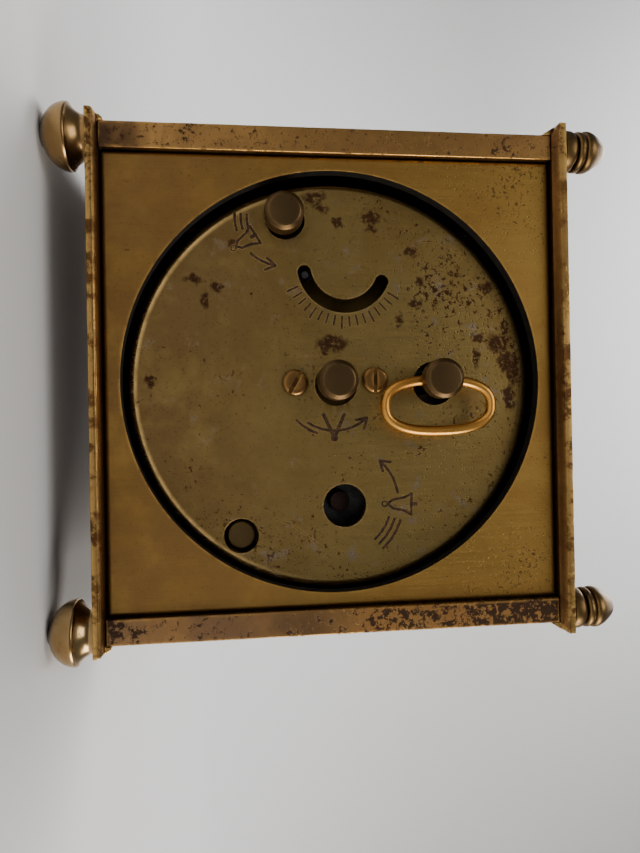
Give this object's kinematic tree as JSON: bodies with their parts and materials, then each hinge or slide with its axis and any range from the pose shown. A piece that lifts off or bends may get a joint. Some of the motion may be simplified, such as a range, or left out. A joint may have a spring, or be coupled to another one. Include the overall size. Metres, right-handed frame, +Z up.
{
  "type": "carriage clock",
  "caption": "Small brass carriage alarm clock: square pillared case on ball feet with finials, round movement, rear winding and setting knobs",
  "frame": {"origin": "centre of the whole box at its base, on the surface the ball feet stand on", "axes": "+Z up, +X to the right as the dial is read, -Y out of the dial, +Y out of the winding side"},
  "size_m": [0.0814, 0.048, 0.0856],
  "materials": {
    "plate_brass": "satin, tarnished, edges worn bright",
    "pillar_brass": "satin, speckled with dark corrosion",
    "panel_brass": "satin",
    "foot_brass": "polished",
    "finial_brass": "dark bronze patina",
    "cover_brass": "brushed, stained and speckled",
    "bezel_brass": "polished",
    "knob_brass": "dark patina with worn rims",
    "ring_brass": "polished by handling",
    "movement_brass": "brushed",
    "steel": "bare",
    "dial_paint": "matt cream",
    "hand_black": "satin black",
    "alarm_hand_brass": "satin",
    "glass": "clear"
  },
  "bodies": {
    "case": {"base_plate": "plate_brass", "top_plate": "plate_brass", "pillar_rear_left": "pillar_brass", "pillar_rear_right": "pillar_brass", "pillar_front_left": "pillar_brass", "pillar_front_right": "pillar_brass", "foot_rear_left": "foot_brass", "foot_rear_right": "foot_brass", "foot_front_left": "foot_brass", "foot_front_right": "foot_brass", "finial_rear_left": "finial_brass", "finial_rear_right": "finial_brass", "finial_front_left": "finial_brass", "finial_front_right": "finial_brass", "rear_panel": "panel_brass", "front_panel": "panel_brass", "left_panel": "panel_brass", "right_panel": "panel_brass", "bezel": "bezel_brass", "glass": "glass", "dial": "dial_paint", "movement_drum": "movement_brass", "rear_cover": "cover_brass", "cover_screw_1": "knob_brass", "cover_screw_2": "knob_brass", "front_movement_plate": "movement_brass", "rear_movement_plate": "movement_brass", "movement_pillar_1": "movement_brass", "movement_pillar_2": "movement_brass", "movement_pillar_3": "movement_brass", "hairspring": "steel", "handle_post_left": "plate_brass", "handle_post_right": "plate_brass"},
    "carrying_handle": {"carrying_handle": "ring_brass"},
    "winding_key": {"time_winding_key": "knob_brass", "time_winding_arbor": "steel"},
    "key_ring": {"winding_key_ring": "ring_brass"},
    "time_barrel": {"time_barrel": "movement_brass"},
    "click": {"time_click": "steel"},
    "alarm_winding": {"alarm_winding_arbor": "steel"},
    "alarm_barrel": {"alarm_barrel": "movement_brass"},
    "centre_wheel": {"centre_wheel": "movement_brass"},
    "third_wheel": {"third_wheel": "movement_brass"},
    "escape_wheel": {"escape_wheel": "steel"},
    "pallet_fork": {"pallet_fork": "steel"},
    "balance_wheel": {"balance_wheel": "movement_brass"},
    "regulator": {"regulator_lever": "steel"},
    "minute_arbor": {"centre_arbor": "steel", "hand_set_knob": "knob_brass", "minute_hand": "hand_black"},
    "minute_wheel": {"minute_wheel": "movement_brass"},
    "hour_wheel": {"hour_wheel": "movement_brass", "hour_hand": "hand_black"},
    "alarm_dial": {"alarm_dial_wheel": "movement_brass", "alarm_hand": "alarm_hand_brass"},
    "alarm_idler": {"alarm_idler_wheel": "movement_brass"},
    "alarm_set": {"alarm_set_arbor": "steel", "alarm_set_knob": "knob_brass"},
    "stop_button": {"stop_button": "knob_brass"},
    "alarm_hammer": {"alarm_hammer": "steel"}
  },
  "joints": [
    {"name": "handle_fold", "type": "hinge", "parent": "case", "child": "carrying_handle", "pos_m": [0, -0.00065, 0.0801], "axis": [-1, 0, 0], "range_deg": [0, 180]},
    {"name": "winding_key_turn", "type": "hinge", "parent": "case", "child": "winding_key", "pos_m": [0, -0.00065, 0.0575], "axis": [0, 1, 0], "range_deg": [0, 1440]},
    {"name": "key_ring_fold", "type": "hinge", "parent": "winding_key", "child": "key_ring", "pos_m": [0, 0.01995, 0.0575], "axis": [0, 0, -1], "range_deg": [0, 180]},
    {"name": "centre_wheel_turn", "type": "hinge", "parent": "case", "child": "centre_wheel", "pos_m": [0, -0.00065, 0.0421], "axis": [0, 1, 0], "continuous": true},
    {"name": "time_barrel_turn", "type": "hinge", "parent": "case", "child": "time_barrel", "pos_m": [0, -0.00065, 0.0575], "axis": [0, 1, 0], "continuous": true},
    {"name": "third_wheel_turn", "type": "hinge", "parent": "case", "child": "third_wheel", "pos_m": [0.0055, -0.00065, 0.03143], "axis": [0, 1, 0], "continuous": true},
    {"name": "escape_wheel_turn", "type": "hinge", "parent": "case", "child": "escape_wheel", "pos_m": [0.01588, -0.00065, 0.03422], "axis": [0, 1, 0], "continuous": true},
    {"name": "pallet_fork_rock", "type": "hinge", "parent": "case", "child": "pallet_fork", "pos_m": [0.01692, -0.00065, 0.03901], "axis": [0, 1, 0], "range_deg": [-5, 5]},
    {"name": "balance_swing", "type": "hinge", "parent": "case", "child": "balance_wheel", "pos_m": [0.018, -0.00065, 0.044], "axis": [0, 1, 0], "range_deg": [-150, 150], "stiffness_Nm_per_rad": 0.000008},
    {"name": "regulator_turn", "type": "hinge", "parent": "case", "child": "regulator", "pos_m": [0.018, -0.00065, 0.044], "axis": [0, 1, 0], "range_deg": [0, 138]},
    {"name": "hand_set_turn", "type": "hinge", "parent": "case", "child": "minute_arbor", "pos_m": [0, -0.00065, 0.0421], "axis": [0, 1, 0], "continuous": true},
    {"name": "minute_wheel_turn", "type": "hinge", "parent": "case", "child": "minute_wheel", "pos_m": [-0.0048, -0.00065, 0.03379], "axis": [0, 1, 0], "continuous": true},
    {"name": "hour_wheel_turn", "type": "hinge", "parent": "case", "child": "hour_wheel", "pos_m": [0, -0.00065, 0.0421], "axis": [0, 1, 0], "continuous": true},
    {"name": "alarm_set_turn", "type": "hinge", "parent": "case", "child": "alarm_set", "pos_m": [0.0251, -0.00065, 0.0347], "axis": [0, 1, 0], "continuous": true},
    {"name": "alarm_idler_turn", "type": "hinge", "parent": "case", "child": "alarm_idler", "pos_m": [0.0141, -0.00065, 0.03454], "axis": [0, 1, 0], "continuous": true},
    {"name": "alarm_dial_turn", "type": "hinge", "parent": "case", "child": "alarm_dial", "pos_m": [0, -0.00065, 0.0421], "axis": [0, 1, 0], "continuous": true},
    {"name": "alarm_winding_turn", "type": "hinge", "parent": "case", "child": "alarm_winding", "pos_m": [-0.0186, -0.00065, 0.0431], "axis": [0, 1, 0], "range_deg": [0, 1440]},
    {"name": "alarm_barrel_turn", "type": "hinge", "parent": "case", "child": "alarm_barrel", "pos_m": [-0.0186, -0.00065, 0.0431], "axis": [0, 1, 0], "continuous": true},
    {"name": "click_lift", "type": "hinge", "parent": "case", "child": "click", "pos_m": [-0.007, -0.00065, 0.055], "axis": [0, 1, 0], "range_deg": [0, 12], "stiffness_Nm_per_rad": 0.001, "springref_deg": -5.73},
    {"name": "alarm_hammer_strike", "type": "hinge", "parent": "case", "child": "alarm_hammer", "pos_m": [-0.0148, -0.00065, 0.0284], "axis": [0, 1, 0], "range_deg": [-6, 7], "stiffness_Nm_per_rad": 0.006},
    {"name": "stop_button_press", "type": "slide", "parent": "case", "child": "stop_button", "axis": [0, -1, 0], "range_m": [0, 0.002], "stiffness_N_per_m": 100, "springref_m": -0.0005}
  ],
  "couplings": [
    {"joint": "time_barrel_turn", "follows": "centre_wheel_turn", "ratio": -0.25},
    {"joint": "third_wheel_turn", "follows": "centre_wheel_turn", "ratio": -4},
    {"joint": "escape_wheel_turn", "follows": "centre_wheel_turn", "ratio": 16},
    {"joint": "minute_wheel_turn", "follows": "hand_set_turn", "ratio": -0.33333},
    {"joint": "hour_wheel_turn", "follows": "hand_set_turn", "ratio": 0.083333},
    {"joint": "alarm_idler_turn", "follows": "alarm_set_turn", "ratio": -0.57143},
    {"joint": "alarm_dial_turn", "follows": "alarm_set_turn", "ratio": 0.44444}
  ]
}
